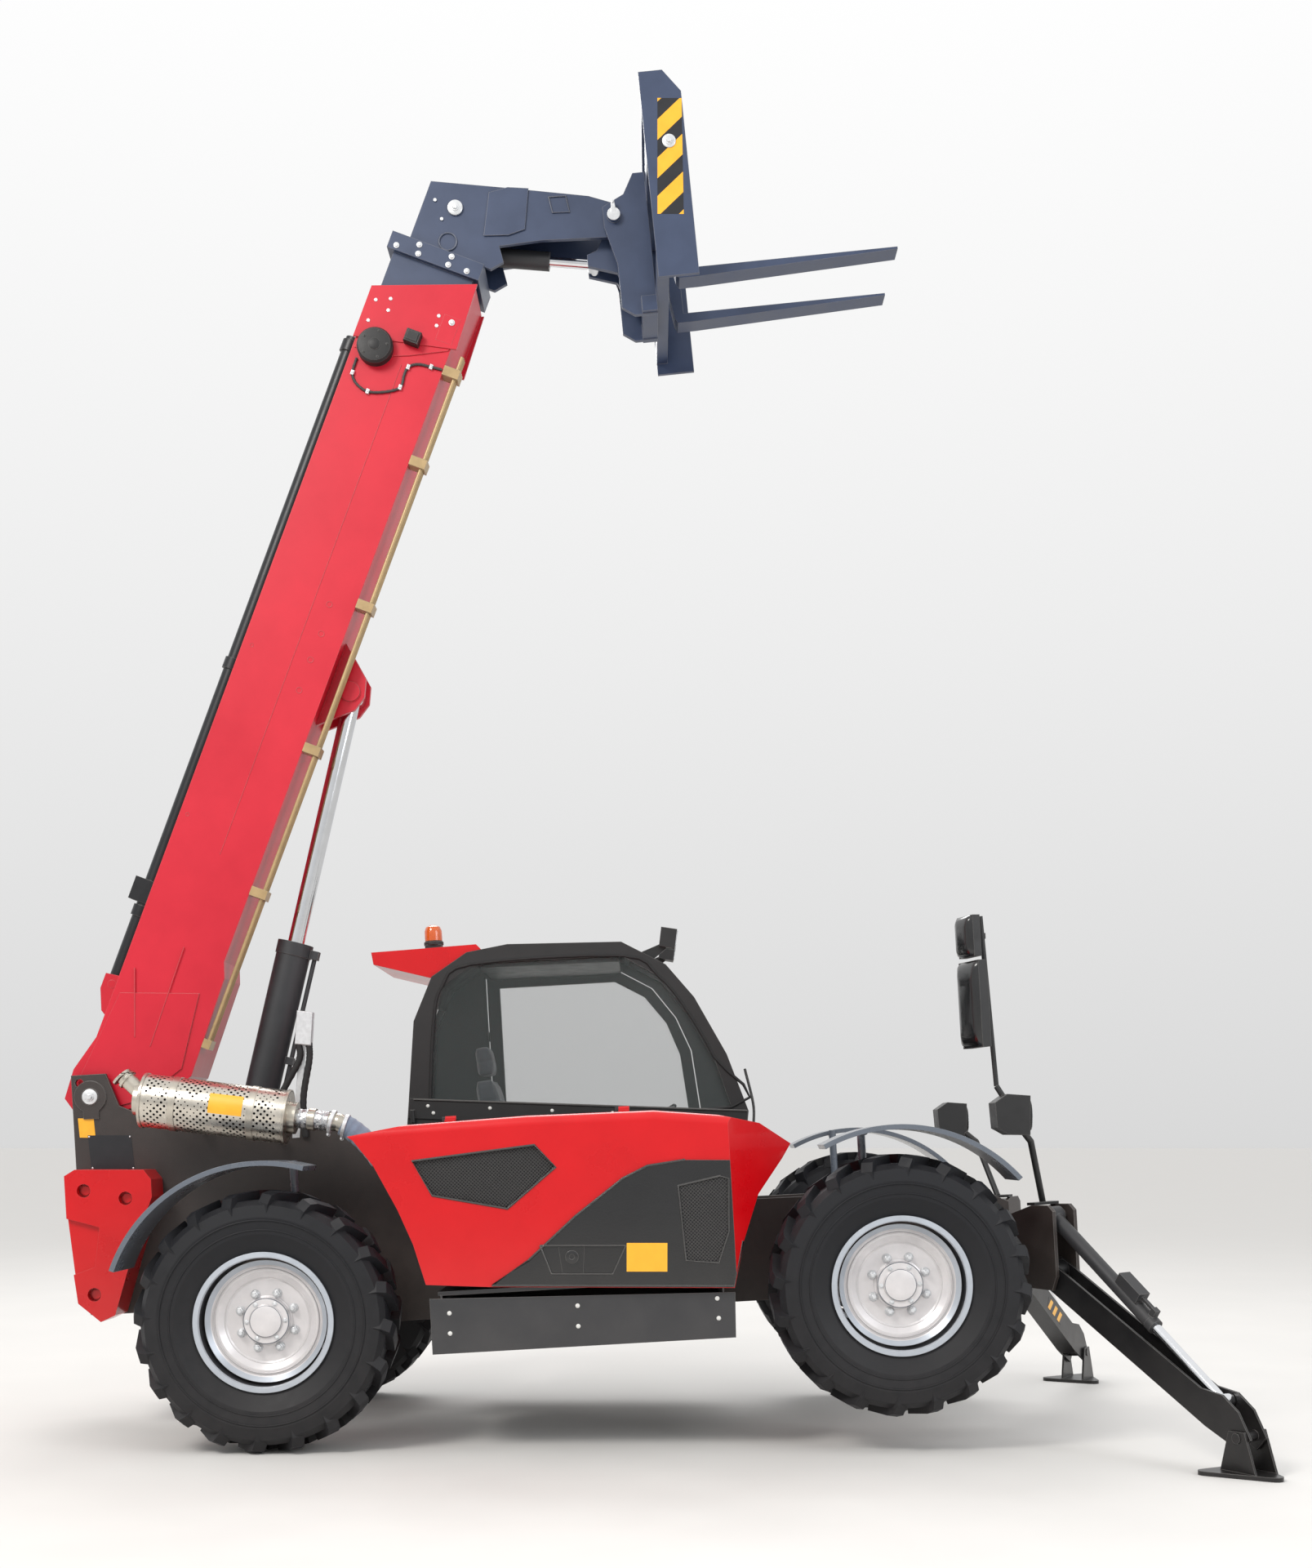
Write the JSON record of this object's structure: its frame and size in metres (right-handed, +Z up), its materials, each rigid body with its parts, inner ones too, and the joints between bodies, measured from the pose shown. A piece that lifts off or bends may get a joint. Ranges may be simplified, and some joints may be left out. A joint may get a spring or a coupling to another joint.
{
  "type": "telehandler",
  "caption": "Telescopic handler standing on its front stabilisers with the boom raised, fork carriage, side cab, engine pod and steered wheels on lugged tyres.",
  "frame": {"origin": "centre of the overall box's bottom face, on the ground", "axes": "+X forward to the forks, +Y to the machine's left, where the cab is, +Z up; the machine leans nose-up on its front legs"},
  "size_m": [5.8312, 3.773, 6.8446],
  "materials": {
    "red_paint": "gloss",
    "dark_paint": "satin",
    "head_paint": "satin",
    "black_panel": "gloss",
    "cylinder_paint": "satin",
    "chrome_rod": "polished",
    "stainless": "perforated, satin",
    "glass": "clear",
    "seat_cover": "vinyl",
    "tyre": "matte",
    "rim_silver": "satin",
    "engine": "painted"
  },
  "bodies": {
    "chassis": {"chassis": "dark_paint", "axles": "dark_paint", "counterweights": "red_paint", "engine_block": "engine", "pod_base": "dark_paint", "exhaust": "stainless", "cab_shell": "dark_paint", "cab_glass": "glass", "cab_visor": "red_paint", "seat": "seat_cover", "tank_steps": "dark_paint", "lamps_mirrors": "dark_paint"},
    "hood": {"hood": "red_paint", "hood_panel": "black_panel"},
    "door": {"cab_door": "dark_paint", "door_glass": "glass"},
    "boom_outer": {"boom_outer": "red_paint", "boom_services": "cylinder_paint"},
    "boom_mid": {"boom_mid": "head_paint"},
    "boom_inner": {"boom_inner": "head_paint"},
    "carriage": {"carriage": "head_paint", "forks": "head_paint"},
    "lift_barrel": {"lift_barrel": "cylinder_paint"},
    "lift_rod": {"lift_rod": "chrome_rod"},
    "tilt_barrel": {"tilt_barrel": "cylinder_paint"},
    "tilt_rod": {"tilt_rod": "chrome_rod"},
    "knuckle_front_left": {"knuckle_front_left": "dark_paint"},
    "wheel_front_left": {"tyre_front_left": "tyre", "rim_front_left": "rim_silver"},
    "knuckle_front_right": {"knuckle_front_right": "dark_paint"},
    "wheel_front_right": {"tyre_front_right": "tyre", "rim_front_right": "rim_silver"},
    "knuckle_rear_left": {"knuckle_rear_left": "dark_paint"},
    "wheel_rear_left": {"tyre_rear_left": "tyre", "rim_rear_left": "rim_silver"},
    "knuckle_rear_right": {"knuckle_rear_right": "dark_paint"},
    "wheel_rear_right": {"tyre_rear_right": "tyre", "rim_rear_right": "rim_silver"},
    "leg_left": {"leg_left": "head_paint"},
    "leg_barrel_left": {"leg_barrel_left": "cylinder_paint"},
    "leg_rod_left": {"leg_rod_left": "chrome_rod"},
    "foot_left": {"foot_left": "head_paint"},
    "leg_right": {"leg_right": "head_paint"},
    "leg_barrel_right": {"leg_barrel_right": "cylinder_paint"},
    "leg_rod_right": {"leg_rod_right": "chrome_rod"},
    "foot_right": {"foot_right": "head_paint"}
  },
  "joints": [
    {"name": "steer_front_left", "type": "hinge", "parent": "chassis", "child": "knuckle_front_left", "pos_m": [1.34052, 0.72, 0.79783], "axis": [-0.057, 0, 0.9984], "range_deg": [-30, 30]},
    {"name": "spin_front_left", "type": "hinge", "parent": "knuckle_front_left", "child": "wheel_front_left", "pos_m": [1.34052, 0.98, 0.79783], "axis": [0, 1, 0], "continuous": true},
    {"name": "steer_front_right", "type": "hinge", "parent": "chassis", "child": "knuckle_front_right", "pos_m": [1.34052, -0.72, 0.79783], "axis": [-0.057, 0, 0.9984], "range_deg": [-30, 30]},
    {"name": "spin_front_right", "type": "hinge", "parent": "knuckle_front_right", "child": "wheel_front_right", "pos_m": [1.34052, -0.98, 0.79783], "axis": [0, 1, 0], "continuous": true},
    {"name": "steer_rear_left", "type": "hinge", "parent": "chassis", "child": "knuckle_rear_left", "pos_m": [-1.68455, 0.72, 0.625], "axis": [-0.057, 0, 0.9984], "range_deg": [-30, 30]},
    {"name": "spin_rear_left", "type": "hinge", "parent": "knuckle_rear_left", "child": "wheel_rear_left", "pos_m": [-1.68455, 0.98, 0.625], "axis": [0, 1, 0], "continuous": true},
    {"name": "steer_rear_right", "type": "hinge", "parent": "chassis", "child": "knuckle_rear_right", "pos_m": [-1.68455, -0.72, 0.625], "axis": [-0.057, 0, 0.9984], "range_deg": [-30, 30]},
    {"name": "spin_rear_right", "type": "hinge", "parent": "knuckle_rear_right", "child": "wheel_rear_right", "pos_m": [-1.68455, -0.98, 0.625], "axis": [0, 1, 0], "continuous": true},
    {"name": "boom_raise", "type": "hinge", "parent": "chassis", "child": "boom_outer", "pos_m": [-2.76343, 0, 1.71423], "axis": [0, -1, 0], "range_deg": [-69.4, 3.6]},
    {"name": "boom_extend", "type": "slide", "parent": "boom_outer", "child": "boom_mid", "axis": [0.3474, 0, 0.9377], "range_m": [0, 3.9]},
    {"name": "boom_extend_tip", "type": "slide", "parent": "boom_mid", "child": "boom_inner", "axis": [0.3474, 0, 0.9377], "range_m": [0, 3.9]},
    {"name": "carriage_tilt", "type": "hinge", "parent": "boom_inner", "child": "carriage", "pos_m": [-0.04449, 0, 6.32694], "axis": [0, 1, 0], "range_deg": [-75, 45]},
    {"name": "lift_barrel_swing", "type": "hinge", "parent": "chassis", "child": "lift_barrel", "pos_m": [-2.08004, 0, 1.07818], "axis": [0, -1, 0], "range_deg": [-73.24, 4.75]},
    {"name": "lift_rod_slide", "type": "slide", "parent": "lift_barrel", "child": "lift_rod", "axis": [0.2256, 0, 0.9742], "range_m": [-1.062, 0.0598]},
    {"name": "tilt_barrel_swing", "type": "hinge", "parent": "boom_inner", "child": "tilt_barrel", "pos_m": [-0.94714, 0, 6.21347], "axis": [0, -1, 0], "range_deg": [-4, 4]},
    {"name": "tilt_rod_slide", "type": "slide", "parent": "tilt_barrel", "child": "tilt_rod", "axis": [0.9968, 0, -0.0796], "range_m": [-0.1329, 0.2181]},
    {"name": "leg_fold_left", "type": "hinge", "parent": "chassis", "child": "leg_left", "pos_m": [2.15947, 0.68, 0.83962], "axis": [0.8646, -0.5, 0.0494], "range_deg": [0, 95]},
    {"name": "leg_barrel_swing_left", "type": "hinge", "parent": "chassis", "child": "leg_barrel_left", "pos_m": [2.14878, 0.68866, 1.11445], "axis": [0.8646, -0.5, 0.0494], "range_deg": [-1, 100.84]},
    {"name": "leg_rod_slide_left", "type": "slide", "parent": "leg_barrel_left", "child": "leg_rod_left", "axis": [0.4276, 0.6806, -0.595], "range_m": [-0.3994, 0.005]},
    {"name": "foot_pivot_left", "type": "hinge", "parent": "leg_left", "child": "foot_left", "pos_m": [2.79576, 1.71454, 0.17397], "axis": [0.8646, -0.5, 0.0494], "range_deg": [-20, 20]},
    {"name": "leg_fold_right", "type": "hinge", "parent": "chassis", "child": "leg_right", "pos_m": [2.15947, -0.68, 0.83962], "axis": [-0.8646, -0.5, -0.0494], "range_deg": [0, 95]},
    {"name": "leg_barrel_swing_right", "type": "hinge", "parent": "chassis", "child": "leg_barrel_right", "pos_m": [2.14878, -0.68866, 1.11445], "axis": [-0.8646, -0.5, -0.0494], "range_deg": [-1, 100.84]},
    {"name": "leg_rod_slide_right", "type": "slide", "parent": "leg_barrel_right", "child": "leg_rod_right", "axis": [0.4276, -0.6806, -0.595], "range_m": [-0.3994, 0.005]},
    {"name": "foot_pivot_right", "type": "hinge", "parent": "leg_right", "child": "foot_right", "pos_m": [2.79576, -1.71454, 0.17397], "axis": [-0.8646, -0.5, -0.0494], "range_deg": [-20, 20]},
    {"name": "cab_door_open", "type": "hinge", "parent": "chassis", "child": "door", "pos_m": [-0.79, 1.136, 1.55254], "axis": [-0.057, 0, 0.9984], "range_deg": [0, 80]},
    {"name": "hood_open", "type": "hinge", "parent": "chassis", "child": "hood", "pos_m": [-0.43966, -0.256, 1.62664], "axis": [-0.9984, 0, -0.057], "range_deg": [0, 55]}
  ],
  "couplings": [
    {"joint": "steer_front_right", "follows": "steer_front_left", "ratio": 1},
    {"joint": "steer_rear_right", "follows": "steer_rear_left", "ratio": 1},
    {"joint": "boom_extend_tip", "follows": "boom_extend", "ratio": 1},
    {"joint": "lift_barrel_swing", "follows": "boom_raise", "ratio": 1.0409},
    {"joint": "lift_rod_slide", "follows": "boom_raise", "m_per_rad": 0.87267},
    {"joint": "tilt_barrel_swing", "follows": "carriage_tilt", "ratio": 0.03},
    {"joint": "tilt_rod_slide", "follows": "carriage_tilt", "m_per_rad": -0.1628},
    {"joint": "leg_barrel_swing_left", "follows": "leg_fold_left", "ratio": 1.051},
    {"joint": "leg_rod_slide_left", "follows": "leg_fold_left", "m_per_rad": -0.23787},
    {"joint": "leg_barrel_swing_right", "follows": "leg_fold_right", "ratio": 1.051},
    {"joint": "leg_rod_slide_right", "follows": "leg_fold_right", "m_per_rad": -0.23787}
  ]
}
